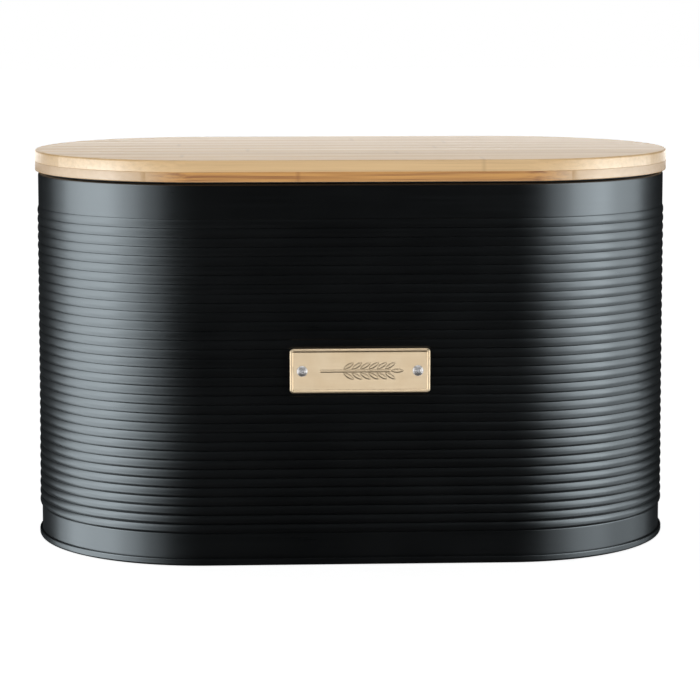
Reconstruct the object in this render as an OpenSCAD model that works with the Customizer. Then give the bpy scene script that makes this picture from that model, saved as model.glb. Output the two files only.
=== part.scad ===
// Oval bread bin. A beaded sheet-steel body is seamed to a pressed base and carries a riveted
// brass plate. A loose lid, laminated from bamboo strips, plugs into the rolled rim.
// Millimetres. The origin is the centre of the base on the table, with +X along the length,
// -Y towards the plate and +Z up.

/* [Body] */
// Length over the plain wall
body_len = 332; // [260:1:400]
// Depth over the plain wall, twice the radius of the round ends
body_depth = 177; // [140:1:220]
// Height of the top of the rolled rim
rim_top = 194; // [192:1:240]
// Thickness of the body sheet
sheet = 0.45; // [0.35:0.05:0.5]
// Radius of the rolled rim
curl_r = 1.5; // [1.2:0.1:1.8]

/* [Beads] */
// Number of beads rolled into the wall
bead_count = 34; // [4:1:35]
// Height of the middle of the lowest bead
bead_low = 18.9; // [14:0.1:22]
// Distance from one bead to the next
bead_pitch = 4.7; // [4:0.02:4.7]
// How far a bead stands out of the plain wall
bead_h = 0.8; // [0.3:0.1:0.9]

/* [Base] */
// Thickness of the base sheet
base_sheet = 0.4; // [0.3:0.05:0.5]
// Height of the double seam that joins the base to the wall
seam_h = 3.8; // [3.4:0.1:4.4]
// Width of the flat border round the raised middle of the base
base_border = 12; // [8:1:20]

/* [Plate] */
// Length of the plate
plate_w = 71; // [66:1:90]
// Height of the plate
plate_h = 23; // [20:0.1:28]
// Height of the plate's middle above the table
plate_z = 99.6; // [60:0.1:140]
// Thickness of the plate's flat field
plate_t = 0.8; // [0.6:0.1:1.2]
// Height of the raised border above the field
border_h = 0.6; // [0.3:0.1:0.8]
// Distance between the two rivets
rivet_span = 58.4; // [56:0.2:60]
// Diameter of a rivet's head
rivet_head_d = 5.5; // [5:0.1:6.5]
// Diameter of a rivet's shank
rivet_shank_d = 3.2; // [3:0.1:3.4]

/* [Lid] */
// How far the lid overhangs the plain wall
lid_overhang = 1.5; // [1:0.1:3]
// Gap between the rim and the underside of the lid
lid_gap = 1; // [0.8:0.1:1.4]
// Thickness of the lower layer of strips
under_t = 5; // [4:0.5:8]
// Thickness of the upper layer of strips
top_t = 6; // [4:0.5:8]
// Number of strips in the upper layer
top_strips = 9; // [7:1:11]
// Number of strips in the lower layer, with the two narrow ones at its edges
under_strips = 10; // [8:1:12]
// Width of the narrow strips that trimming leaves at the edges of the lower layer
under_edge = 5; // [4:0.5:12]
// Number of strips in the plug
plug_strips = 6; // [4:1:8]
// Depth of the plug under the lid
plug_t = 8; // [7.5:0.5:12]
// Clearance between the lips of the seal and the rim
seal_clear = 0.3; // [0.3:0.05:0.6]

/* [Hidden] */
$fn = 96;
beyond = 1;                       // how far a cutting solid runs past what it cuts

// Outline: two half circles of any radius about the points +-end_x, joined by straights
end_x = (body_len - body_depth) / 2;
body_r = body_depth / 2;
lid_r = body_r + lid_overhang;

// Beads: arcs that meet the plain wall half a pitch from their crests
bead_r = (bead_h * bead_h + bead_pitch * bead_pitch / 4) / (2 * bead_h);
bead_band_low = bead_low - bead_pitch / 2;
bead_band_top = bead_band_low + bead_count * bead_pitch;

// Lock seam: the folded joint of the body sheet, a flat strip inside the back wall
lock_w = 6;
lock_t = 1;
lock_low = 8;
lock_top = rim_top - 2 * curl_r - 3;

// Double seam: the wall runs straight down into it, and five layers of sheet lie a hair apart.
// Each radius is a layer's inner face, from the inside out.
seam_gap = 0.05;
hook_room = 0.3;
wall_r = body_r - sheet;                          // the body's wall
base_wall_r = wall_r - seam_gap - base_sheet;     // the base's inner wall
base_hook_r = body_r + seam_gap;                  // the base's hook
body_hook_r = base_hook_r + base_sheet + seam_gap;
base_cover_r = body_hook_r + sheet + seam_gap;    // the base's outer wall
seam_r = base_cover_r + base_sheet;
base_z = seam_h + 0.4;                            // underside of the base's border
base_rise = 1.2;                                  // height of its raised middle
base_step = 2;                                    // width of the slope up to it

// Plate: lies against the crests of the beads
plate_back = body_r + bead_h + 0.02;
plate_corner = 2.2;
border_inset = 0.5;
border_w = 1.3;
field_front = plate_back + plate_t;

// Rivets: blind rivets whose broken mandrels stay inside
rivet_fit = 0.02;
head_rise = 1;
head_dome_r = (head_rise * head_rise + rivet_head_d * rivet_head_d / 4) / (2 * head_rise);
mandrel_r = 0.88;
mandrel_head_r = 1.5;
mandrel_head_h = 1.4;
mandrel_tip = 0.4;                                // how far the broken pin shows in the head's dimple
bulb_r = 2.5;
bulb_near = field_front - body_r + 0.58;          // depth at which the bulb meets the wall
bulb_far = bulb_near + 3.2;

// Ear of wheat embossed on the plate
grain_len = 6.4;
grain_w = 1.9;
grain_tilt = 32;
grain_pitch = 4.2;
grain_pairs = 6;
grain_gap = 0.25;                                 // between the stem and where a grain is hinged
grain_start = 0.6;                                // from there to the grain's point
ear_x = -9;
stem_x = -20;
stem_w = 0.7;
relief = 0.3;

// Lid: layers from the plug up
lid_z = rim_top + lid_gap;
under_top = lid_z + under_t;
lid_top = under_top + top_t;
top_round = 1.4;
under_chamfer = 0.8;
curl_in_r = body_r - 2 * curl_r;
lip_r = curl_in_r - seal_clear;
plug_r = lip_r - 2.6;
plug_z = lid_z - plug_t;
plug_chamfer = 0.6;
groove_r = plug_r - 1.5;
groove_z = plug_z + 1.4;
seal_web_r = plug_r + 0.3;
seal_gap = 0.05;
flange_z = rim_top + seal_clear;
flange_r = body_r - 1.6;

// Sweeps a section, drawn as radius and height, once round the oval
module round_oval() {
    for (side = [-1, 1])
        translate([side * end_x, 0, 0])
            rotate([0, 0, -90 * side])
                rotate_extrude(angle = 180)
                    children();
    for (turn = [90, -90])
        rotate([90, 0, turn])
            linear_extrude(height = 2 * end_x, center = true)
                children();
}

// A straight strip of a section, from one corner to the other
module strip(low, high) {
    translate(low)
        square(high - low);
}

// A drawing that looks outwards from the front wall, at a depth in front of the oval's axis
module on_front(depth, x = 0, z = 0) {
    translate([x, -depth, z])
        rotate([90, 0, 0])
            children();
}

module bead_section(z) {
    translate([body_r + bead_h - bead_r, z])
        intersection() {
            difference() {
                circle(r = bead_r);
                circle(r = bead_r - sheet);
            }
            translate([0, -bead_pitch / 2])
                square([bead_r + beyond, bead_pitch]);
        }
}

// Three quarters of a ring, rolled inwards from the top of the wall
module curl_section() {
    translate([body_r - curl_r, rim_top - curl_r])
        difference() {
            circle(r = curl_r);
            circle(r = curl_r - sheet);
            translate([0, -curl_r - beyond])
                square([curl_r + beyond, curl_r + beyond]);
        }
}

// The plain foot of the wall, and the hook that the base is folded over
module foot_section() {
    hook_out_r = body_hook_r + sheet;
    strip([wall_r, base_sheet], [body_r, bead_band_low]);
    strip([body_r, base_sheet], [hook_out_r, base_sheet + sheet]);
    strip([body_hook_r, base_sheet + sheet], [hook_out_r, seam_h - base_sheet - hook_room]);
}

module wall_section() {
    foot_section();
    for (i = [0:bead_count - 1])
        bead_section(bead_low + i * bead_pitch);
    strip([wall_r, bead_band_top], [body_r, rim_top - curl_r]);
    curl_section();
}

// Rods along the rivets' axes, which cut their holes through the front wall only
module rivet_holes() {
    for (side = [-1, 1])
        on_front(body_r - 4, side * rivet_span / 2, plate_z)
            cylinder(d = rivet_shank_d + 2 * rivet_fit, h = 12);
}

module body_shell() {
    color("#16181a")
        difference() {
            union() {
                round_oval()
                    wall_section();
                translate([-lock_w / 2, wall_r - lock_t, lock_low])
                    cube([lock_w, lock_t + sheet / 2, lock_top - lock_low]);
            }
            rivet_holes();
        }
}

module base_panel() {
    middle_r = base_wall_r - base_border;
    base_hook_out = base_hook_r + base_sheet;
    color("#202224")
        round_oval() {
            polygon([
                [0, base_z + base_rise],
                [middle_r, base_z + base_rise],
                [middle_r + base_step, base_z],
                [base_wall_r, base_z],
                [base_wall_r, base_z + base_sheet],
                [middle_r + base_step, base_z + base_sheet],
                [middle_r, base_z + base_rise + base_sheet],
                [0, base_z + base_rise + base_sheet]
            ]);
            strip([base_wall_r, 0], [base_wall_r + base_sheet, base_z + base_sheet]);
            strip([base_wall_r + base_sheet, 0], [seam_r, base_sheet]);
            strip([base_cover_r, base_sheet], [seam_r, seam_h]);
            strip([base_hook_r, seam_h - base_sheet], [base_cover_r, seam_h]);
            strip([base_hook_r, base_sheet + sheet + hook_room], [base_hook_out, seam_h - base_sheet]);
        }
}

module rounded_rect(w, h, r) {
    square([w - 2 * r, h], center = true);
    square([w, h - 2 * r], center = true);
    for (x = [-1, 1], y = [-1, 1])
        translate([x * (w / 2 - r), y * (h / 2 - r)])
            circle(r = r);
}

// A pointed grain that lies along +X from the origin, where two equal circles cross
module grain() {
    arc_r = (grain_len * grain_len + grain_w * grain_w) / (4 * grain_w);
    translate([grain_len / 2, 0])
        intersection_for(side = [-1, 1])
            translate([0, side * (arc_r - grain_w / 2)])
                circle(r = arc_r);
}

module wheat_ear() {
    ear_end = ear_x + grain_pairs * grain_pitch;
    translate([stem_x, -stem_w / 2])
        square([ear_end - stem_x - 1, stem_w]);
    for (i = [0:grain_pairs - 1], side = [-1, 1])
        translate([ear_x + i * grain_pitch, side * (stem_w / 2 + grain_gap)])
            rotate(side * grain_tilt)
                translate([grain_start, 0])
                    grain();
    translate([ear_end - 0.7, 0])
        grain();
}

module name_plate() {
    ridge_w = plate_w - 2 * border_inset;
    ridge_h = plate_h - 2 * border_inset;
    ridge_r = plate_corner - border_inset;
    color("#d2bd94")
        difference() {
            on_front(plate_back, 0, plate_z) {
                linear_extrude(height = plate_t)
                    rounded_rect(plate_w, plate_h, plate_corner);
                translate([0, 0, plate_t])
                    linear_extrude(height = border_h)
                        difference() {
                            rounded_rect(ridge_w, ridge_h, ridge_r);
                            rounded_rect(
                                ridge_w - 2 * border_w,
                                ridge_h - 2 * border_w,
                                ridge_r - border_w
                            );
                        }
                translate([0, 0, plate_t])
                    linear_extrude(height = relief)
                        wheat_ear();
            }
            rivet_holes();
        }
}

// A domed head on the plate, a shank through plate and wall, and a squashed bulb inside
module rivet(side) {
    color("silver")
        on_front(field_front, side * rivet_span / 2, plate_z)
            rotate_extrude()
                difference() {
                    union() {
                        intersection() {
                            translate([0, head_rise - head_dome_r])
                                circle(r = head_dome_r);
                            square([head_dome_r, head_rise + beyond]);
                        }
                        translate([0, -bulb_far])
                            square([rivet_shank_d / 2, bulb_far]);
                        intersection() {
                            translate([0, -(bulb_near + bulb_far) / 2])
                                circle(r = bulb_r);
                            translate([0, -bulb_far])
                                square([bulb_r + beyond, bulb_far - bulb_near]);
                        }
                    }
                    translate([-head_dome_r - beyond, -2 * bulb_far])
                        square([head_dome_r + beyond + mandrel_r + rivet_fit, 4 * bulb_far]);
                }
}

// The stub of the pulled pin, with its head against the far end of the rivet
module mandrel(side) {
    color("gray")
        on_front(field_front, side * rivet_span / 2, plate_z) {
            translate([0, 0, -bulb_far - rivet_fit])
                cylinder(r = mandrel_r, h = bulb_far + mandrel_tip);
            translate([0, 0, -bulb_far - rivet_fit - mandrel_head_h])
                cylinder(r = mandrel_head_r, h = mandrel_head_h);
        }
}

// Where joint number i of a layer lies: 0 and count are its edges, edge its outer strips' width
function joint_y(i, count, half_depth, edge) =
    i == 0 ? -half_depth - beyond
    : i == count ? half_depth + beyond
    : -half_depth + edge + (i - 1) * 2 * (half_depth - edge) / (count - 2);

// One strip of a layer, cut along the grain from the whole layer's shape
module layer_strip(i, count, half_depth, edge, low, high) {
    start = joint_y(i - 1, count, half_depth, edge);
    stop = joint_y(i, count, half_depth, edge);
    length = 2 * (end_x + half_depth + beyond);
    intersection() {
        round_oval()
            children();
        translate([-length / 2, start, low - beyond])
            cube([length, stop - start, high - low + 2 * beyond]);
    }
}

module top_section() {
    polygon(concat(
        [[0, lid_top], [0, under_top], [lid_r, under_top]],
        [for (a = [0:15:90])
            [lid_r - top_round * (1 - cos(a)), lid_top - top_round * (1 - sin(a))]]
    ));
}

module under_section() {
    polygon([
        [0, lid_z],
        [lid_r - under_chamfer, lid_z],
        [lid_r, lid_z + under_chamfer],
        [lid_r, under_top],
        [0, under_top]
    ]);
}

// The plug, cut back above its lower edge to make the groove that holds the seal
module plug_section() {
    polygon([
        [0, plug_z],
        [plug_r - plug_chamfer, plug_z],
        [plug_r, plug_z + plug_chamfer],
        [plug_r, groove_z],
        [groove_r, groove_z],
        [groove_r, lid_z],
        [0, lid_z]
    ]);
}

module lid_top_strip(i) {
    color(i % 2 == 0 ? "#dcbf92" : "#d3b383")
        layer_strip(i, top_strips, lid_r, 2 * lid_r / top_strips, under_top, lid_top)
            top_section();
}

module lid_under_strip(i) {
    color(i % 2 == 0 ? "#c08a50" : "#b88148")
        layer_strip(i, under_strips, lid_r, under_edge, lid_z, under_top)
            under_section();
}

module lid_plug_strip(i) {
    color(i % 2 == 0 ? "#d8b988" : "#cfae7b")
        layer_strip(i, plug_strips, plug_r, 2 * plug_r / plug_strips, plug_z, lid_z)
            plug_section();
}

// A web in the groove, two lips that brush the rim and a flange that lies over it
module lid_seal() {
    color("#3a3a3a")
        round_oval() {
            strip([groove_r + seal_gap, groove_z + seal_gap], [seal_web_r, lid_z - seal_gap]);
            strip([seal_web_r, flange_z], [flange_r, lid_z - seal_gap]);
            for (z = [groove_z + 0.5, groove_z + 3.6])
                polygon([
                    [seal_web_r, z],
                    [lip_r, z + 0.5],
                    [lip_r, z + 0.9],
                    [seal_web_r, z + 1.1]
                ]);
        }
}

body_shell();
base_panel();
name_plate();
rivet(-1);  // rivet_left
rivet(1);  // rivet_right
mandrel(-1);  // mandrel_left
mandrel(1);  // mandrel_right
for (i = [1:top_strips])
    lid_top_strip(i);
for (i = [1:under_strips])
    lid_under_strip(i);
for (i = [1:plug_strips])
    lid_plug_strip(i);
lid_seal();
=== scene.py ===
"""Looks of an oval bread bin: a beaded black steel body, a riveted brass plate and a bamboo lid.

Every length is in metres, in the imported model's frame: +X along the bin, -Y towards the plate.
"""

import math
import random

import bmesh
import bpy
from mathutils import Matrix, Vector, noise


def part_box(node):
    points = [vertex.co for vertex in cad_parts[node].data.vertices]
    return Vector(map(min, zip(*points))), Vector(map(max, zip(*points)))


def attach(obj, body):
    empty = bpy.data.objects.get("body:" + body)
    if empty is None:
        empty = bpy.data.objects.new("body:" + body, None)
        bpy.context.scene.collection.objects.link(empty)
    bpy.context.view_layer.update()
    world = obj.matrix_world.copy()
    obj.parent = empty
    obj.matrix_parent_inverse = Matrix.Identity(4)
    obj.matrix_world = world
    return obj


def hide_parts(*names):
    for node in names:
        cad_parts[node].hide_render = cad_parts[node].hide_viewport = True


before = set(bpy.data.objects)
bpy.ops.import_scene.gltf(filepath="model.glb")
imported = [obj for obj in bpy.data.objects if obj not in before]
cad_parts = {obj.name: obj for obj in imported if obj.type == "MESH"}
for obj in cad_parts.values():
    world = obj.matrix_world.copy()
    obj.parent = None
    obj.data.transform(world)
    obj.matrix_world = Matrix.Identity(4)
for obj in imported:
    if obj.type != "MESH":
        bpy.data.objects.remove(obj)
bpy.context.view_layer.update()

MM = 0.001
DEG = math.pi / 180

# ---------------------------------------------------------------- sizes that the frame gives
base_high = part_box("base_panel")[1]
plate_low, plate_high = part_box("name_plate")
rivet_low, rivet_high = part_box("rivet_right")
seal_low, seal_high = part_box("lid_seal")

SEAM_R = base_high.y                      # outer radius of the foot's seam
END_X = base_high.x - base_high.y         # the round ends turn about x = +-END_X
RIM_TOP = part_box("body_shell")[1].z
BASE_TOP = base_high.z
LID_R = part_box("lid_top_strip_9")[1].y
PLUG_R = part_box("lid_plug_strip_6")[1].y

# ---------------------------------------------------------------- sizes of the sheet-metal body
SHEET = 0.45 * MM                         # thickness of the body's sheet
BASE_SHEET = 0.4 * MM                     # and of the base's
HAIR = 0.05 * MM                          # gap between the layers of the seam
WALL_R = SEAM_R - 2 * BASE_SHEET - SHEET - 3 * HAIR
SEAM_H = 3.8 * MM
CURL_R = 1.5 * MM                         # outer radius of the rolled rim

BEADS = 34
BEAD_LOW = 18.9 * MM                      # height of the lowest bead's middle
BEAD_PITCH = 4.7 * MM
BEAD_H = 0.78 * MM                        # how far a bead of middling depth stands out
BEAD_POWER = 2.1                          # how flat a bead's top is and how steep its sides are
VALLEY_CUT = 0.2                          # how far valleys lie behind the wall, in bead heights
BEAD_EASE = 0.3 * MM                      # spacing of the points that end the row of beads
LOCK_HALF = 3 * MM                        # half the width of the lock seam at the back
LOCK_LOW = 8 * MM                         # height at which the lock seam starts
LOCK_GROOVE = 0.22 * MM                   # depth of the line that its fold leaves
LOCK_GROOVE_HALF = 0.35 * MM
ARC_STEPS = 84                            # mesh steps round each end of the oval
FRONT_STEPS = 12                          # and along its front


# ---------------------------------------------------------------- mesh helpers
def finish_mesh(name, verts, faces, sharp=40):
    """Makes an object of the faces, with outward normals and smooth shading up to a crease."""
    mesh = bpy.data.meshes.new(name)
    mesh.from_pydata(verts, [], faces)
    bm = bmesh.new()
    bm.from_mesh(mesh)
    bmesh.ops.remove_doubles(bm, verts=bm.verts, dist=1e-7)
    bmesh.ops.recalc_face_normals(bm, faces=bm.faces)
    bm.to_mesh(mesh)
    bm.free()
    for polygon in mesh.polygons:
        polygon.use_smooth = True
    mesh.set_sharp_from_angle(angle=sharp * DEG)
    piece = bpy.data.objects.new(name, mesh)
    bpy.context.scene.collection.objects.link(piece)
    return piece


def grid_faces(rings, points, ring_loop=True, point_loop=True):
    """Quads between neighbouring rings of equally many points."""
    faces = []
    for i in range(rings if ring_loop else rings - 1):
        for j in range(points if point_loop else points - 1):
            a, b = i * points + j, i * points + (j + 1) % points
            c, d = (i + 1) % rings * points + (j + 1) % points, (i + 1) % rings * points + j
            faces.append((a, b, c, d))
    return faces


def arc(centre, radius, start, stop, steps):
    """Points on a circle, from one angle to another, in degrees."""
    angles = [start + (stop - start) * i / steps for i in range(steps + 1)]
    return [
        (centre[0] + radius * math.cos(a * DEG), centre[1] + radius * math.sin(a * DEG))
        for a in angles
    ]


def oval_stations(arc_steps, front_steps, back_xs):
    """Places round the oval, anticlockwise from the front right: (centre x, angle in degrees)."""
    stations = [(END_X, -90 + 180 * i / arc_steps) for i in range(arc_steps + 1)]
    stations += [(x, 90) for x in back_xs]
    stations += [(-END_X, 90 + 180 * i / arc_steps) for i in range(arc_steps + 1)]
    stations += [(END_X * (2 * i / front_steps - 1), 270) for i in range(1, front_steps)]
    return stations


def at_station(station, radius, height):
    centre, angle = station
    return Vector((centre + radius * math.cos(angle * DEG), radius * math.sin(angle * DEG), height))


def sweep(name, stations, section, closed=True, sharp=40):
    """Carries a section of (radius, height) points round the oval; an open one is capped flat."""
    rings = [[at_station(s, r, z) for r, z in section(s)] for s in stations]
    points = len(rings[0])
    verts = [v for ring in rings for v in ring]
    faces = grid_faces(len(rings), points, point_loop=closed)
    if not closed:
        faces += [tuple(i * points + j for i in range(len(rings))) for j in (0, points - 1)]
    return finish_mesh(name, verts, faces, sharp)


def lathe(name, profile, origin, steps=64, closed=True, sharp=40):
    """Turns (radius, depth) points about a line through origin along Y; depth grows towards -Y."""
    verts = []
    for i in range(steps):
        a = 2 * math.pi * i / steps
        verts += [origin + Vector((r * math.cos(a), -d, r * math.sin(a))) for r, d in profile]
    return finish_mesh(name, verts, grid_faces(steps, len(profile), point_loop=closed), sharp)


# ---------------------------------------------------------------- node-material helpers
class Nodes:
    """A small helper that builds one material's node tree."""

    def __init__(self, name):
        self.material = bpy.data.materials.new(name)
        self.material.use_nodes = True
        self.tree = self.material.node_tree
        self.shader = self.tree.nodes["Principled BSDF"]

    def add(self, kind, **sockets):
        node = self.tree.nodes.new(kind)
        for key, value in sockets.items():
            self.put(node.inputs[key.replace("_", " ")], value)
        return node

    def put(self, socket, value):
        if isinstance(value, bpy.types.NodeSocket):
            self.tree.links.new(value, socket)
        else:
            socket.default_value = value

    def shade(self, **sockets):
        for key, value in sockets.items():
            self.put(self.shader.inputs[key.replace("_", " ")], value)

    def place(self, scale):
        """Object coordinates, stretched by a scale along each axis."""
        where = self.add("ShaderNodeTexCoord").outputs["Object"]
        mapping = self.add("ShaderNodeMapping", Vector=where, Scale=scale)
        return mapping.outputs["Vector"]

    def noise(self, where, scale=1.0, detail=3.0, rough=0.55, warp=0.0):
        node = self.add("ShaderNodeTexNoise", Vector=where, Scale=scale, Detail=detail)
        node.inputs["Roughness"].default_value = rough
        node.inputs["Distortion"].default_value = warp
        return node.outputs["Fac"]

    def spread(self, value, low, high, to_low=0.0, to_high=1.0):
        """Stretches the range low to high of a value over another range, and clamps it."""
        limits = {"From_Min": low, "From_Max": high, "To_Min": to_low, "To_Max": to_high}
        return self.add("ShaderNodeMapRange", Value=value, **limits).outputs["Result"]

    def math(self, kind, a, b=0.0):
        node = self.tree.nodes.new("ShaderNodeMath")
        node.operation = kind
        self.put(node.inputs[0], a)
        self.put(node.inputs[1], b)
        return node.outputs[0]

    def mix(self, factor, a, b, blend="MIX"):
        node = self.tree.nodes.new("ShaderNodeMix")
        node.data_type = "RGBA"
        node.blend_type = blend
        sockets = {socket.identifier: socket for socket in node.inputs}
        self.put(sockets["Factor_Float"], factor)
        self.put(sockets["A_Color"], a)
        self.put(sockets["B_Color"], b)
        return next(socket for socket in node.outputs if socket.identifier == "Result_Color")

    def bump(self, height, distance, strength=1.0, normal=None):
        node = self.add("ShaderNodeBump", Height=height, Distance=distance, Strength=strength)
        if normal is not None:
            self.put(node.inputs["Normal"], normal)
        return node.outputs["Normal"]


def grey(value):
    return (value, value, value, 1)


# ---------------------------------------------------------------- the steel body
# The inner faces of the double seam's five layers, from the inside out
CHUCK_IN = WALL_R - SHEET - HAIR - BASE_SHEET       # the base's inner wall
WALL_IN = WALL_R - SHEET                            # the body's wall
BASE_HOOK_IN = WALL_R + HAIR                        # the base's hook
BODY_HOOK_IN = BASE_HOOK_IN + BASE_SHEET + HAIR     # the body's hook
COVER_IN = SEAM_R - BASE_SHEET                      # the base's outer wall
HOOK_ROOM = 0.3 * MM                                # from a hook's end to the bend it points at
FOLD_R = 1.7 * MM                                   # outer radius of the seam's lower edge


def lock_fade(station):
    """1 on the wall, falling to 0 in the middle of the lock seam at the back."""
    x, angle = station
    if angle != 90:
        return 1.0
    return min(1.0, max(0.0, (abs(x) - 0.6 * LOCK_HALF) / (0.8 * LOCK_HALF)))


def lock_groove(station):
    """Depth of the line that the fold of the lock seam leaves at one side of it."""
    x, angle = station
    away = abs(x - LOCK_HALF) / LOCK_GROOVE_HALF
    return LOCK_GROOVE * max(0.0, 1 - away) if angle == 90 else 0.0


def bead_depth(number, station):
    """How deep a bead is here: shallower higher up, uneven, and flatter at the lock seam."""
    x, angle = station
    waver = noise.noise(Vector((number * 3.7, x * 9, math.cos(angle * DEG) * 0.9)))
    level = 0.72 + 0.65 * (1 - number / BEADS) ** 3
    return BEAD_H * (level + 0.12 * waver) * (0.35 + 0.65 * lock_fade(station))


def bead_outline(station, inner):
    """The beads from the lowest up, as points (radius, height) on one side of the sheet."""
    half = (0.47, 0.42, 0.35, 0.15) if inner else (0.48, 0.455, 0.425, 0.385, 0.33, 0.25, 0.13)
    across = [-t for t in half] + [0] + list(reversed(half))
    wall = WALL_R - lock_groove(station) - (SHEET if inner else 0)
    low, high = BEAD_LOW - BEAD_PITCH / 2, BEAD_LOW + (BEADS - 0.5) * BEAD_PITCH
    points = [(wall, low - 2 * BEAD_EASE), (wall, low - BEAD_EASE)]
    for number in range(BEADS):
        depth = bead_depth(number, station)
        points.append((wall - VALLEY_CUT * depth, BEAD_LOW + (number - 0.5) * BEAD_PITCH))
        for t in across:
            rise = depth * (1 - abs(2 * t) ** BEAD_POWER)
            points.append((wall + rise, BEAD_LOW + (number + t) * BEAD_PITCH))
    points.append((wall - VALLEY_CUT * depth, high))
    return points + [(wall, high + BEAD_EASE), (wall, high + 2 * BEAD_EASE)]


def slope(start_r, end_r, start_z, end_z, steps=6):
    """A smooth step from one radius and height to another."""
    points = []
    for i in range(steps + 1):
        t = i / steps
        ease = (1 - math.cos(math.pi * t)) / 2
        points.append((start_r + (end_r - start_r) * ease, start_z + (end_z - start_z) * t))
    return points


def shell_section(station):
    """The whole sheet: the hook in the seam, the wall, the curl, and back down the inside."""
    hook_out = BODY_HOOK_IN + SHEET
    hook_top = SEAM_H - BASE_SHEET - HOOK_ROOM
    bend_r = FOLD_R - BASE_SHEET - HAIR
    curl = (WALL_R - CURL_R, RIM_TOP - CURL_R)
    groove = lock_groove(station)
    hook = [(WALL_IN, BASE_SHEET + HAIR)]
    hook += arc((hook_out - bend_r, BASE_SHEET + HAIR + bend_r), bend_r, -90, 0, 4)
    hook += [
        (hook_out, hook_top),
        (BODY_HOOK_IN, hook_top),
        (BODY_HOOK_IN, BASE_SHEET + SHEET),
        (WALL_R, BASE_SHEET + SHEET),
    ]
    plain_low = [(WALL_R, SEAM_H), (WALL_R - groove, LOCK_LOW)]
    plain_top = [(WALL_R - groove, RIM_TOP - 2 * CURL_R), (WALL_R, RIM_TOP - CURL_R)]
    roll = arc(curl, CURL_R, 15, 270, 17) + arc(curl, CURL_R - SHEET, 270, 15, 17)
    inner_top = [(WALL_IN, RIM_TOP - CURL_R), (WALL_IN - groove, RIM_TOP - 2 * CURL_R)]
    inner_low = [(WALL_IN - groove, LOCK_LOW), (WALL_IN, SEAM_H)]
    outward = hook + plain_low + bead_outline(station, inner=False) + plain_top
    return outward + roll + inner_top + bead_outline(station, inner=True)[::-1] + inner_low


def lock_strip():
    """The folded layers of the lock seam, a flat strip down the inside of the back wall."""
    low, high = LOCK_LOW, RIM_TOP - 2 * CURL_R - 3 * MM
    face = WALL_IN - 1 * MM               # how far the layers stand in from the wall
    round_off = 0.3 * MM
    outline = [
        (-LOCK_HALF, WALL_R - SHEET / 2),
        (-LOCK_HALF, face + round_off),
        (-LOCK_HALF + round_off, face),
        (LOCK_HALF - round_off, face),
        (LOCK_HALF, face + round_off),
        (LOCK_HALF, WALL_R - SHEET / 2),
    ]
    verts = [Vector((x, y, z)) for z in (low, high) for x, y in outline]
    count = len(outline)
    faces = grid_faces(2, count, ring_loop=False)
    faces += [tuple(range(count)), tuple(range(count, 2 * count))]
    return finish_mesh("lock_seam", verts, faces)


def join(name, *objects):
    """Puts several meshes into one piece."""
    bm = bmesh.new()
    for part in objects:
        bm.from_mesh(part.data)
    mesh = objects[0].data
    bm.to_mesh(mesh)
    bm.free()
    for part in objects[1:]:
        bpy.data.objects.remove(part)
    objects[0].name = name
    return objects[0]


def make_body(material):
    seam_xs = [i * 0.5 * MM for i in range(10, -11, -1)]
    back_xs = [END_X * f for f in (0.96, 0.7, 0.35, 0.12)] + seam_xs
    back_xs += [-END_X * f for f in (0.12, 0.35, 0.7, 0.96)]
    stations = oval_stations(ARC_STEPS, FRONT_STEPS, back_xs)
    wall = sweep("wall", stations, shell_section)
    body = join("beaded_body", wall, lock_strip())
    body.data.set_sharp_from_angle(angle=40 * DEG)
    body.data.materials.append(material)
    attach(body, "bin")
    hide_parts("body_shell")
    return body


def base_section(_station):
    """The pressed base from its raised middle out to the edge, folded over the wall's hook."""
    border = BASE_TOP - 1.2 * MM - BASE_SHEET           # underside of the border, a step lower
    middle_r = CHUCK_IN - 12 * MM
    slope_r = middle_r + 2 * MM
    edge_r = 0.4 * MM
    top_r = (SEAM_R - BASE_HOOK_IN) / 2
    hook_low = BASE_SHEET + SHEET + HOOK_ROOM
    low_bend = (SEAM_R - FOLD_R, FOLD_R)
    under = slope(middle_r, slope_r, BASE_TOP - BASE_SHEET, border)
    chuck = [(CHUCK_IN - edge_r, border), (CHUCK_IN, border - edge_r)]
    foot_in = arc((CHUCK_IN + edge_r, edge_r), edge_r, 180, 270, 4)
    foot_out = arc(low_bend, FOLD_R, -90, 0, 8)
    fold = arc((SEAM_R - top_r, SEAM_H - top_r), top_r, 0, 180, 14)
    hook = [
        (BASE_HOOK_IN, hook_low),
        (BASE_HOOK_IN + BASE_SHEET, hook_low),
        (BASE_HOOK_IN + BASE_SHEET, SEAM_H - BASE_SHEET),
        (COVER_IN, SEAM_H - BASE_SHEET),
    ]
    inside = arc(low_bend, FOLD_R - BASE_SHEET, 0, -90, 4)
    inside += [(CHUCK_IN + BASE_SHEET, BASE_SHEET), (CHUCK_IN + BASE_SHEET, border + BASE_SHEET)]
    above = slope(slope_r, middle_r, border + BASE_SHEET, BASE_TOP)
    return under + chuck + foot_in + foot_out + fold + hook + inside + above


def make_base(material):
    stations = oval_stations(ARC_STEPS, FRONT_STEPS, [])
    base = sweep("seamed_base", stations, base_section, closed=False)
    base.data.materials.append(material)
    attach(base, "bin")
    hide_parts("base_panel")
    return base


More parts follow.
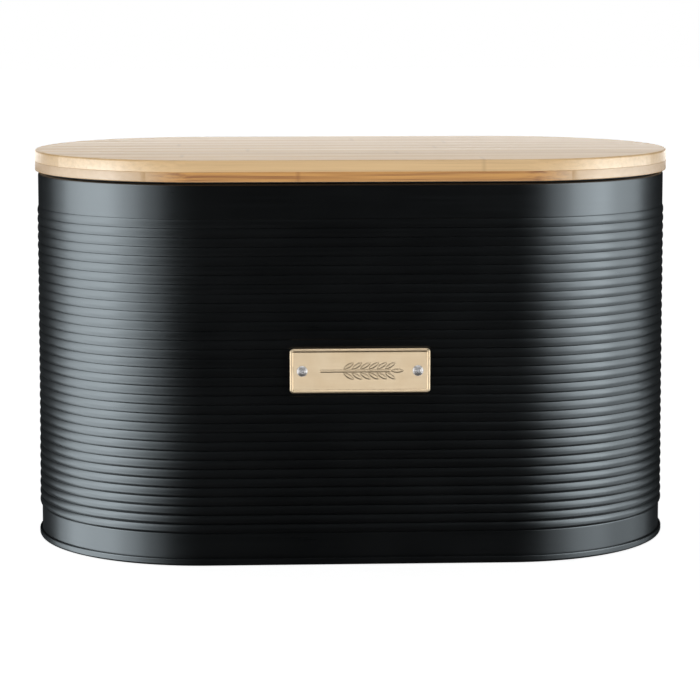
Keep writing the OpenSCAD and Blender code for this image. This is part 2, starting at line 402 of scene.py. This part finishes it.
# ---------------------------------------------------------------- the plate and its rivets
PLATE_FRONT = -plate_low.y
PLATE_Z = (plate_low.z + plate_high.z) / 2
BORDER_H = 0.6 * MM                       # height of the raised border
FIELD = PLATE_FRONT - BORDER_H            # how far the flat field lies in front of the axis
CORNER_R = 2.2 * MM
FIELD_HALF_W = plate_high.x - CORNER_R
FIELD_HALF_H = (plate_high.z - plate_low.z) / 2 - CORNER_R
FIELD_CELL = 0.2 * MM                     # mesh size of the embossed field
CORNER_STEPS = 8
RIVET_X = (rivet_low.x + rivet_high.x) / 2
RIVET_Z = (rivet_low.z + rivet_high.z) / 2
RELIEF = 0.3 * MM                         # height of the embossed ear of wheat
GRAIN_LEN = 6.4 * MM
GRAIN_W = 1.9 * MM
GRAIN_PITCH = 4.2 * MM                    # from one pair of grains to the next
GRAIN_PAIRS = 6
GRAIN_TILT = 32                           # degrees from the stem
GRAIN_IN = 0.6 * MM                       # how far along itself each grain starts from the stem
EAR_X = -9 * MM                           # where the ear starts
STEM_X = -20 * MM                         # and where its stem does
STEM_W = 0.7 * MM


def wheat_grains():
    """Where each grain starts and how it is turned: pairs along the stem and one at its tip."""
    grains = [(EAR_X + GRAIN_PAIRS * GRAIN_PITCH - 0.7 * MM, 0.0, 0.0)]
    for i in range(GRAIN_PAIRS):
        for side in (-1, 1):
            tilt = side * GRAIN_TILT * DEG
            x = EAR_X + i * GRAIN_PITCH + GRAIN_IN * math.cos(tilt)
            z = side * (STEM_W / 2 + 0.25 * MM) + GRAIN_IN * math.sin(tilt)
            grains.append((x, z, tilt))
    return grains


def emboss(x, z, grains):
    """Height of the embossed ear above the field, at a point measured from the plate's middle."""
    height = 0.0
    stem_end = EAR_X + GRAIN_PAIRS * GRAIN_PITCH - 1 * MM
    if STEM_X < x < stem_end and abs(z) < STEM_W:
        height = RELIEF * min(1.0, 2 * (1 - abs(z) / STEM_W))
    for start_x, start_z, tilt in grains:
        dx, dz = x - start_x, z - start_z
        along = (dx * math.cos(tilt) + dz * math.sin(tilt)) / GRAIN_LEN
        across = (-dx * math.sin(tilt) + dz * math.cos(tilt)) / (GRAIN_W / 2)
        if 0 < along < 1:
            width = 4 * along * (1 - along)
            if abs(across) < width:
                dome = math.sqrt(1 - (across / width) ** 2)
                crease = 0.35 * max(0.0, 1 - abs(across) / 0.22) * width
                height = max(height, RELIEF * dome * min(1.0, 3 * width) * (1 - crease))
    return height


def plate_stations(columns, rows):
    """Places round the plate's edge: a corner or side point, and which way is outward."""
    w, h = FIELD_HALF_W, FIELD_HALF_H
    xs = [-w + 2 * w * i / columns for i in range(1, columns)]
    zs = [-h + 2 * h * i / rows for i in range(1, rows)]
    stations = []
    sides = (
        ((w, -h), -90, [(w, z, 0) for z in zs]),
        ((w, h), 0, [(x, h, 90) for x in reversed(xs)]),
        ((-w, h), 90, [(-w, z, 180) for z in reversed(zs)]),
        ((-w, -h), 180, [(x, -h, 270) for x in xs]),
    )
    for corner, start, side in sides:
        turns = [start + 90 * i / CORNER_STEPS for i in range(CORNER_STEPS + 1)]
        stations += [(*corner, turn) for turn in turns] + side
    return stations


def make_plate(material):
    columns = round(2 * FIELD_HALF_W / FIELD_CELL)
    rows = round(2 * FIELD_HALF_H / FIELD_CELL)
    grains = wheat_grains()
    verts = []
    for j in range(rows + 1):
        z = FIELD_HALF_H * (2 * j / rows - 1)
        for i in range(columns + 1):
            x = FIELD_HALF_W * (2 * i / columns - 1)
            verts.append(Vector((x, -(FIELD + emboss(x, z, grains)), PLATE_Z + z)))
    faces = grid_faces(rows + 1, columns + 1, ring_loop=False, point_loop=False)
    # The border's section in millimetres, outward from the field: its crest, then its side
    border = [
        (0, 0), (0.3, 0.02), (0.48, 0.14), (0.68, 0.42), (0.88, 0.56), (1.15, 0.6), (1.42, 0.57),
        (1.66, 0.45), (1.88, 0.22), (2.04, 0), (2.14, -0.2), (2.2, -0.4), (2.2, -0.75),
        (2.15, -0.8),
    ]
    stations = plate_stations(columns, rows)
    first = len(verts)
    for x, z, angle in stations:
        for out, up in border:
            away = out * MM
            verts.append(Vector((
                x + away * math.cos(angle * DEG),
                -(FIELD + up * MM),
                PLATE_Z + z + away * math.sin(angle * DEG),
            )))
    ring = grid_faces(len(stations), len(border), point_loop=False)
    faces += [tuple(first + v for v in face) for face in ring]
    faces.append(tuple(first + i * len(border) + len(border) - 1 for i in range(len(stations))))
    plate = finish_mesh("name_plate_embossed", verts, faces, sharp=50)
    plate.data.materials.append(material)
    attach(plate, "bin")
    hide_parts("name_plate")
    return plate


def make_rivet(side, metal, pin_metal):
    """A blind rivet with a domed head, its squashed bulb inside the wall, and its pin's stub.

    The profiles are in millimetres: the radius, and the height above the plate's field.
    """
    dome_r, dome_top = 4.28, 1.0
    dome = [
        (r, dome_top - dome_r + math.sqrt(dome_r**2 - r**2))
        for r in (1.25, 1.5, 1.8, 2.1, 2.4, 2.6)
    ]
    bulb_r, bulb_middle = 2.5, -3.6
    bulb = [
        (math.sqrt(bulb_r**2 - (d - bulb_middle) ** 2), d)
        for d in (-2.0, -2.4, -2.9, -3.4, -3.9, -4.4, -4.9, -5.15)
    ]
    profile = [(0.9, 0.62), (0.98, 0.8), (1.1, 0.9)] + dome
    profile += [(2.72, 0.14), (2.75, 0.06), (2.73, 0.0), (1.6, 0.0), (1.6, -2.0)] + bulb
    profile += [(1.5, -5.2), (0.9, -5.2)]
    origin = Vector((side * RIVET_X, -FIELD, RIVET_Z))
    name = "left" if side < 0 else "right"
    rivet = lathe("blind_rivet_" + name, [(r * MM, d * MM) for r, d in profile], origin)
    rivet.data.materials.append(metal)
    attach(rivet, "bin")
    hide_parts("rivet_" + name)
    stub = [
        (0, 0.3), (0.35, 0.34), (0.6, 0.24), (0.8, 0.3), (0.87, 0.1), (0.87, -5.22),
        (1.5, -5.22), (1.5, -6.1), (1.3, -6.45), (0.9, -6.6), (0, -6.62),
    ]
    pin = lathe("rivet_pin_" + name, [(r * MM, d * MM) for r, d in stub], origin, closed=False)
    pin.data.materials.append(pin_metal)
    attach(pin, "bin")
    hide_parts("mandrel_" + name)
    return rivet, pin


# ---------------------------------------------------------------- the bamboo lid
JOINT_V = 0.12 * MM                       # half the width of the fine groove along a glued joint
KNUCKLE_PITCH = 260 * MM                  # distance between the knuckles of a bamboo cane
CHOSEN = {                                # strips along the front edge: tone, and a knuckle's x
    "lid_top_strip_1": (0.3, 62 * MM),
    "lid_under_strip_1": (0.5, -31 * MM),
}


def strip_level(outer_r, low_y, high_y, z, steps):
    """One level of a strip: its right end, then its left end, as curved ends of the oval."""
    start, stop = (math.asin(max(-1.0, min(1.0, y / outer_r))) for y in (low_y, high_y))
    right = []
    for i in range(steps + 1):
        a = start + (stop - start) * i / steps
        right.append(Vector((END_X + outer_r * math.cos(a), outer_r * math.sin(a), z)))
    return right + [Vector((-v.x, v.y, v.z)) for v in reversed(right)]


def make_strip(node, levels, edge_r, material):
    """A strip of the lid between its joints; levels are (outer radius, height, joint inset)."""
    low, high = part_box(node)
    widest = max(r for r, _z, _inset in levels)
    spans = [math.asin(max(-1.0, min(1.0, y / widest))) for y in (low.y, high.y)]
    steps = max(4, math.ceil((spans[1] - spans[0]) / (2 * DEG)))
    outer_low, outer_high = low.y < -edge_r + MM, high.y > edge_r - MM
    verts = []
    for r, z, inset in levels:
        y0 = -edge_r if outer_low else low.y + inset
        y1 = edge_r if outer_high else high.y - inset
        verts += strip_level(r, y0, y1, z, steps)
    count = 2 * (steps + 1)
    faces = grid_faces(len(levels), count, ring_loop=False)
    faces += [tuple(range(count)), tuple(range((len(levels) - 1) * count, len(levels) * count))]
    strip = finish_mesh(node.replace("lid", "bamboo"), verts, faces, sharp=30)
    draw = random.Random(node)
    tone, shift, knuckle = draw.random(), draw.random(), KNUCKLE_PITCH * draw.random()
    tone, knuckle = CHOSEN.get(node, (tone, knuckle))
    for key, value in (("tone", tone), ("shift", shift), ("knuckle", knuckle)):
        layer = strip.data.attributes.new(key, "FLOAT", "POINT")
        for item in layer.data:
            item.value = value
    strip.data.materials.append(material)
    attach(strip, "lid")
    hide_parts(node)
    return strip


def top_levels(bottom, top):
    round_r = 1.0 * MM
    levels = [(LID_R - JOINT_V, bottom, 0), (LID_R, bottom + JOINT_V, 0)]
    for a, inset in ((0, 0), (15, 0), (30, 0), (45, 0), (60, 0), (75, 0.4), (90, 1)):
        r = LID_R - round_r * (1 - math.cos(a * DEG))
        levels.append((r, top - round_r * (1 - math.sin(a * DEG)), inset * JOINT_V))
    return levels


def under_levels(bottom, top):
    round_r = 0.5 * MM
    levels = []
    for a, inset in ((90, 1), (70, 0.3), (45, 0), (20, 0), (0, 0)):
        r = LID_R - round_r * (1 - math.cos(a * DEG))
        levels.append((r, bottom + round_r * (1 - math.sin(a * DEG)), inset * JOINT_V))
    return levels + [(LID_R, top - JOINT_V, 0), (LID_R - JOINT_V, top, 0)]


def plug_levels(bottom, top):
    groove_r = PLUG_R - 1.5 * MM
    groove_z = bottom + 1.4 * MM
    return [
        (PLUG_R - 0.8 * MM, bottom, JOINT_V),
        (PLUG_R - 0.55 * MM, bottom + 0.08 * MM, 0),
        (PLUG_R - 0.08 * MM, bottom + 0.55 * MM, 0),
        (PLUG_R, bottom + 0.8 * MM, 0),
        (PLUG_R, groove_z - 0.1 * MM, 0),
        (PLUG_R - 0.1 * MM, groove_z, 0),
        (groove_r, groove_z, 0),
        (groove_r, top, 0),
    ]


def make_lid(upper, lower, edge, plug):
    """The three layers of strips; the lower layer's narrow outer strips are of darker bamboo."""
    kinds = (
        ("lid_top_strip_", top_levels, LID_R, upper, "bamboo_upper"),
        ("lid_under_strip_", under_levels, LID_R, lower, "bamboo_lower"),
        ("lid_plug_strip_", plug_levels, PLUG_R, plug, "bamboo_plug"),
    )
    strips = []
    for prefix, shape, edge_r, material, slot in kinds:
        names = sorted(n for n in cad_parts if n.startswith(prefix))
        for node in names:
            low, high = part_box(node)
            narrow = high.y - low.y < 10 * MM
            wood = edge if narrow else material
            strips.append(make_strip(node, shape(low.z, high.z), edge_r, wood))
    return strips


def seal_section(_station):
    """A web in the plug's groove, two soft lips towards the rim and a flange over it."""
    web_out = PLUG_R + 0.3 * MM
    web_in = PLUG_R - 1.45 * MM
    lip_r = WALL_R - 2 * CURL_R - 0.3 * MM
    flange_r = seal_high.y
    flange_z = RIM_TOP + 0.3 * MM
    top = seal_high.z
    soft = 0.2 * MM
    section = [(web_in, seal_low.z), (web_out - soft, seal_low.z), (web_out, seal_low.z + soft)]
    for z in (seal_low.z + 0.45 * MM, seal_low.z + 3.55 * MM):
        section += [
            (web_out, z),
            (web_out + 1.0 * MM, z + 0.1 * MM),
            (lip_r - 0.5 * MM, z + 0.3 * MM),
            (lip_r - 0.08 * MM, z + 0.56 * MM),
            (lip_r, z + 0.7 * MM),
            (lip_r - 0.08 * MM, z + 0.84 * MM),
            (lip_r - 0.6 * MM, z + 0.72 * MM),
            (web_out + 0.9 * MM, z + 0.62 * MM),
            (web_out + 0.2 * MM, z + 0.8 * MM),
            (web_out, z + 1.1 * MM),
        ]
    section += [(web_out, flange_z)]
    section += arc((flange_r - soft, flange_z + soft), soft, -90, 0, 3)
    section += arc((flange_r - soft, top - soft), soft, 0, 90, 3)
    return section + [(web_in, top)]


def make_seal(material):
    seal = sweep("silicone_seal", oval_stations(ARC_STEPS, 8, []), seal_section, sharp=60)
    seal.data.materials.append(material)
    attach(seal, "lid")
    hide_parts("lid_seal")
    return seal


# ---------------------------------------------------------------- materials
def black_coat():
    """Satin black powder coat: a fine even grain, with faint streaks round the rolled sheet."""
    n = Nodes("black_powder_coat")
    grain = n.noise(n.place((1, 1, 1)), scale=1500, detail=2)
    streak = n.noise(n.place((18, 18, 900)), scale=1, detail=3)
    cloud = n.noise(n.place((1, 1, 1)), scale=22, detail=3)
    worn = n.math("ADD", n.math("MULTIPLY", streak, 0.6), n.math("MULTIPLY", cloud, 0.4))
    rough = n.spread(worn, 0.3, 0.7, 0.27, 0.33)
    black, worn_black = (0.0012, 0.0012, 0.0013, 1), (0.0018, 0.0018, 0.0019, 1)
    tint = n.mix(n.spread(cloud, 0.35, 0.65), black, worn_black)
    height = n.math("ADD", n.math("MULTIPLY", grain, 0.6), n.math("MULTIPLY", streak, 0.4))
    n.shade(Base_Color=tint, Roughness=rough, Normal=n.bump(height, 0.03 * MM, 0.5), IOR=1.8)
    return n.material


def satin_brass():
    """Pale gold metal, brushed along the plate, polished a little on the raised border."""
    n = Nodes("satin_brass")
    brush = n.noise(n.place((60, 60, 3500)), scale=1, detail=3)
    cloud = n.noise(n.place((1, 1, 1)), scale=90, detail=3)
    tint = n.mix(n.spread(cloud, 0.3, 0.7), (0.80, 0.63, 0.42, 1), (0.86, 0.70, 0.49, 1))
    rough = n.spread(brush, 0.3, 0.7, 0.38, 0.46)
    n.shade(Base_Color=tint, Roughness=rough, Metallic=1.0)
    n.shade(Normal=n.bump(brush, 0.01 * MM, 0.5))
    return n.material


def bright_metal(name, base, low, high):
    """Bare metal with fine scuffs and faint blots; low and high limit its roughness."""
    n = Nodes(name)
    scuff = n.noise(n.place((1, 1, 1)), scale=1800, detail=4, rough=0.7)
    blot = n.noise(n.place((1, 1, 1)), scale=400, detail=2)
    tint = n.mix(n.spread(blot, 0.35, 0.65), base, tuple(0.82 * c for c in base[:3]) + (1,))
    n.shade(Base_Color=tint, Roughness=n.spread(scuff, 0.35, 0.65, low, high), Metallic=1.0)
    n.shade(Normal=n.bump(scuff, 0.01 * MM, 0.4))
    return n.material


def bamboo(name, pale, honey, dark, gloss, streaky, lacquer, ends=None):
    """Lacquered bamboo: fibres along X, a knuckle across each strip, and a tone for each strip.

    gloss is the wood's lowest roughness, streaky is how dark its streaks are and lacquer is the
    weight of its clear coat. With a colour for the ends, the lower layer's outer strips fade to
    it there and along their lower edge: partly paler end grain and bared wood, partly a painted
    highlight of the side lights and of the white table.
    """
    n = Nodes(name)
    given = {}
    for key in ("tone", "shift", "knuckle"):
        node = n.add("ShaderNodeAttribute")
        node.attribute_name = key
        given[key] = node.outputs["Fac"]
    where = n.add("ShaderNodeTexCoord").outputs["Object"]
    along = n.math("MULTIPLY", given["shift"], 3.0)
    apart = n.add("ShaderNodeCombineXYZ", X=along, Y=given["shift"])
    move = n.add("ShaderNodeVectorMath", Vector=where)
    n.put(move.inputs[1], apart.outputs["Vector"])

    def streaks(scale, detail):
        stretch = n.add("ShaderNodeMapping", Vector=move.outputs["Vector"], Scale=scale)
        return n.noise(stretch.outputs["Vector"], 1.0, detail)

    broad = streaks((4, 150, 150), 2)
    fine = streaks((9, 620, 620), 3)
    hair = streaks((40, 2600, 2600), 2)
    point = n.add("ShaderNodeSeparateXYZ", Vector=where).outputs
    away = n.math("PINGPONG", n.math("SUBTRACT", point["X"], given["knuckle"]), KNUCKLE_PITCH / 2)
    away = n.math("ADD", away, n.math("MULTIPLY", fine, 0.0012))
    knuckle = n.spread(away, 0.0004, 0.0022, 1, 0)
    base = n.mix(given["tone"], pale, honey)
    base = n.mix(n.spread(broad, 0.35, 0.7, 0.0, 0.5), base, honey)
    base = n.mix(n.spread(fine, 0.42, 0.72, 0.0, streaky), base, dark)
    base = n.mix(n.spread(hair, 0.55, 0.75, 0.0, 0.18), base, dark)
    base = n.mix(n.math("MULTIPLY", knuckle, 0.4), base, dark)
    # Painted highlight: paler towards the round ends (partly end grain, partly the side lights'
    # highlight) and along the lower edge (partly bared wood, partly the white table's light)
    if ends:
        low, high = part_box("lid_under_strip_1")
        far = n.spread(n.math("ABSOLUTE", point["X"]), 0.82 * high.x, 1.02 * high.x)
        sanded_edge_and_highlight = n.spread(point["Z"], low.z, low.z + 0.9 * MM, 0.6, 0)
        base = n.mix(n.math("MAXIMUM", far, sanded_edge_and_highlight), base, ends)
    n.shade(Base_Color=base, Roughness=n.spread(fine, 0.3, 0.7, gloss, gloss + 0.12))
    n.shade(Coat_Weight=lacquer, Coat_Roughness=0.38)
    height = n.math("ADD", n.math("MULTIPLY", fine, 0.7), n.math("MULTIPLY", hair, 0.3))
    height = n.math("ADD", height, n.math("MULTIPLY", knuckle, 0.8))
    n.shade(Normal=n.bump(height, 0.05 * MM, 0.35))
    return n.material


def silicone():
    """Soft dark grey silicone with a faint bloom of dust."""
    n = Nodes("dark_silicone")
    dust = n.noise(n.place((1, 1, 1)), scale=500, detail=4)
    tint = n.mix(n.spread(dust, 0.4, 0.7), (0.030, 0.030, 0.032, 1), (0.045, 0.045, 0.046, 1))
    n.shade(Base_Color=tint, Roughness=n.spread(dust, 0.3, 0.7, 0.5, 0.65))
    n.shade(Normal=n.bump(dust, 0.02 * MM, 0.3))
    return n.material


# ---------------------------------------------------------------- the studio
def look_along(obj, forward):
    """Turns an object so that its -Z points along forward, with X level."""
    forward = forward.normalized()
    right = forward.cross(Vector((0, 0, 1))).normalized()
    turn = Matrix((right, right.cross(forward), -forward)).transposed()
    obj.rotation_euler = turn.to_euler()


def make_camera():
    """The camera stands in front, a little left of the middle and higher than the lid."""
    yaw, pitch = -0.0495, 0.1204
    data = bpy.data.cameras.new("camera")
    data.sensor_width = 36
    data.lens = 136.2
    data.shift_y = -0.1
    data.dof.use_dof = False
    camera = bpy.data.objects.new("camera", data)
    camera.location = (-0.0703, -1.4058, 0.3051)
    level = Vector((-math.sin(yaw), math.cos(yaw), 0))
    look_along(camera, level * math.cos(pitch) - Vector((0, 0, math.sin(pitch))))
    bpy.context.scene.collection.objects.link(camera)
    bpy.context.scene.camera = camera


def area_light(name, receivers, centre, aim, size, brightness, tint=(1, 1, 1), gloss_only=False):
    """A soft panel that faces the point aim and shines on one collection of pieces alone.

    Its brightness is its radiance, where 1 is plain white.
    """
    width, height = size
    data = bpy.data.lights.new(name, "AREA")
    data.shape = "RECTANGLE"
    data.size, data.size_y = width, height
    data.energy = brightness * math.pi * width * height
    data.color = tint
    light = bpy.data.objects.new(name, data)
    light.location = centre
    look_along(light, Vector(aim) - Vector(centre))
    light.visible_camera = False
    light.visible_diffuse = not gloss_only
    light.light_linking.receiver_collection = receivers
    bpy.context.scene.collection.objects.link(light)


def make_floor():
    """A white table top, bright enough to leave only a trace of a shadow."""
    size = 6.0
    mesh = bpy.data.meshes.new("floor")
    corners = [(-size, -size, 0), (size, -size, 0), (size, size, 0), (-size, size, 0)]
    mesh.from_pydata(corners, [], [(0, 1, 2, 3)])
    floor = bpy.data.objects.new("floor", mesh)
    bpy.context.scene.collection.objects.link(floor)
    floor.location.z = -0.05 * MM
    n = Nodes("white_floor")
    paper = n.noise(n.place((1, 1, 1)), scale=60, detail=2)
    n.shade(Base_Color=n.mix(n.spread(paper, 0.3, 0.7), grey(0.86), grey(0.9)), Roughness=0.9)
    n.shade(Emission_Color=grey(1), Emission_Strength=0.85)
    mesh.materials.append(n.material)
    floor.visible_glossy = False
    floor.visible_shadow = False


WORLD_SEEN = 1.0                          # how bright the surroundings are to the camera,
WORLD_GLOSS = 0.004                       # in reflections,
WORLD_FILL = 0.25                         # and as soft light on everything


def make_world():
    """White to the camera, dim to reflections, and a soft even fill to everything else."""
    world = bpy.data.worlds.new("studio")
    bpy.context.scene.world = world
    world.use_nodes = True
    tree = world.node_tree
    path = tree.nodes.new("ShaderNodeLightPath")
    strength = None
    for ray, low, high in (
        ("Is Glossy Ray", WORLD_FILL, WORLD_GLOSS),
        ("Is Camera Ray", None, WORLD_SEEN),
    ):
        choice = tree.nodes.new("ShaderNodeMix")
        tree.links.new(path.outputs[ray], choice.inputs["Factor"])
        if low is None:
            tree.links.new(strength, choice.inputs["A"])
        else:
            choice.inputs["A"].default_value = low
        choice.inputs["B"].default_value = high
        strength = choice.outputs["Result"]
    tree.links.new(strength, tree.nodes["Background"].inputs["Strength"])
    tree.nodes["Background"].inputs["Color"].default_value = grey(1)


WALL_FAR = 0.55                           # the curved walls of light stand this far from the ends
WALL_FIRST = 35                           # degrees from the front, seen from the end's middle
WALL_STEP = 15                            # degrees from one panel to the next
WALL_TOP = 0.75
LID_WALL_LOW, LID_WALL_TOP = -0.1, 0.19   # the lid's own panels stay below its top
COOL = (0.82, 0.935, 1.0)                 # the panels' faint blue

# Brightness of each panel, from the front on: for the coat above and below the table's level,
# and for the strips along the lid's front edge and all its others
LEFT_WALL = (0.93, 2.95, 5.1, 4.4, 3.3, 0.65)
LEFT_FOOT = (0.74, 2.4, 3.8, 3.5, 3.6, 1.6)
RIGHT_WALL = (1.42, 4.0, 5.1, 2.75, 2.4, 0.1)
RIGHT_FOOT = (0.54, 1.57, 1.9, 1.1, 1.15, 0.65)
LID_FRONT = (1.5, 6.5, 13, 7.8, 5.2, 3, 0.8)
LID_OTHERS = (0.4, 1.4, 2.2, 2.6, 3.4, 3, 1)


def gather(name, pieces):
    """A collection of pieces, for the lights that shine on those alone."""
    collection = bpy.data.collections.new(name)
    for piece in pieces:
        collection.objects.link(piece)
    return collection


def in_front(piece):
    """Whether a piece of the lid lies along its front edge."""
    corners = piece.data.vertices
    return sum(v.co.y for v in corners) / len(corners) < -LID_R / 2


def side_wall(name, receivers, side, low, high, strengths):
    """Upright panels round one end of the bin, which only glossy surfaces see."""
    size = (2 * WALL_FAR * math.tan(WALL_STEP / 2 * DEG), high - low)
    middle = Vector((side * END_X, 0, (high + low) / 2))
    for number, strength in enumerate(strengths):
        angle = (WALL_FIRST + number * WALL_STEP) * DEG
        centre = middle + WALL_FAR * Vector((side * math.sin(angle), -math.cos(angle), 0))
        area_light(name, receivers, centre, middle, size, strength, COOL, gloss_only=True)


def light_body(pieces):
    """Walls of light for the black coat, at both ends and on below the table's level."""
    coat = gather("coat", pieces)
    side_wall("left_wall", coat, -1, 0, WALL_TOP, LEFT_WALL)
    side_wall("left_foot", coat, -1, -0.46, 0, LEFT_FOOT)
    side_wall("right_wall", coat, 1, 0, WALL_TOP, RIGHT_WALL)
    side_wall("right_foot", coat, 1, -0.42, 0, RIGHT_FOOT)


def light_lid(pieces):
    """Low walls for the lid's edge, two cards behind for the sheen on its top, and soft lights."""
    front = gather("lid_front", [piece for piece in pieces if in_front(piece)])
    others = gather("lid_others", [piece for piece in pieces if not in_front(piece)])
    for side in (-1, 1):
        side_wall("lid_front_wall", front, side, LID_WALL_LOW, LID_WALL_TOP, LID_FRONT)
        side_wall("lid_others_wall", others, side, LID_WALL_LOW, LID_WALL_TOP, LID_OTHERS)
    wood = gather("lid", pieces)
    area_light("card_behind", wood, (0, 0.6, 0.5), (0, 0, 0.2), (0.9, 0.5), 0.95)
    area_light("glow_behind", wood, (0, 0.35, 0.2), (0, 0, 0.2), (0.9, 0.06), 3, gloss_only=True)
    area_light("lid_top_light", wood, (0, 0.1, 1.2), (0, 0.1, 0), (1.4, 0.8), 0.9)
    area_light("front_light", wood, (-0.1, -1.25, 0.9), (0, 0, 0.12), (1.4, 1.0), 1.38)
    for side in (-1, 1):
        area_light("end_fill", wood, (side * 0.8, -0.1, 0.3), (0, 0, 0.15), (0.8, 0.6), 0.6)


def light_plate(pieces):
    """Cards in front of, above and beside the plate."""
    bright = gather("plate_and_rivets", pieces)
    aim = (0, plate_low.y, PLATE_Z)
    area_light("plate_card", bright, (0.07, -1.3, 0.0), aim, (1.4, 0.8), 1.25)
    area_light("plate_top", bright, (0, -0.35, 0.9), aim, (1.0, 0.5), 1.7)
    for side in (-1, 1):
        area_light("plate_side", bright, (side * 0.8, -0.2, 0.05), aim, (0.7, 0.8), 2.6)


scene = bpy.context.scene
scene.view_settings.view_transform = "Standard"
make_camera()
make_floor()
make_world()

coat = black_coat()
steel = [make_body(coat), make_base(coat)]

metal = [make_plate(satin_brass())]
aluminium = bright_metal("bright_aluminium", (0.93, 0.92, 0.92, 1), 0.42, 0.52)
zinc = bright_metal("zinc_pin", (0.74, 0.74, 0.75, 1), 0.42, 0.52)
for rivet_side in (-1, 1):
    metal += make_rivet(rivet_side, aluminium, zinc)

pale, honey, dark = (0.85, 0.59, 0.31, 1), (0.70, 0.44, 0.18, 1), (0.46, 0.28, 0.12, 1)
lower_pale, lower_honey = (0.58, 0.37, 0.18, 1), (0.52, 0.32, 0.14, 1)
edge_pale, edge_honey = (0.76, 0.42, 0.13, 1), (0.60, 0.27, 0.06, 1)
edge_dark = (0.24, 0.07, 0.015, 1)
lid = make_lid(
    bamboo("bamboo_upper", pale, honey, dark, gloss=0.36, streaky=0.3, lacquer=0.8),
    bamboo("bamboo_lower", lower_pale, lower_honey, dark, gloss=0.36, streaky=0.3, lacquer=0.3),
    bamboo(
        "bamboo_edge", edge_pale, edge_honey, edge_dark,
        gloss=0.36, streaky=1.0, lacquer=0.3, ends=lower_pale,
    ),
    bamboo("bamboo_plug", pale, honey, dark, gloss=0.5, streaky=0.4, lacquer=0.1),
)
lid.append(make_seal(silicone()))

light_body(steel)
light_lid(lid)
light_plate(metal)
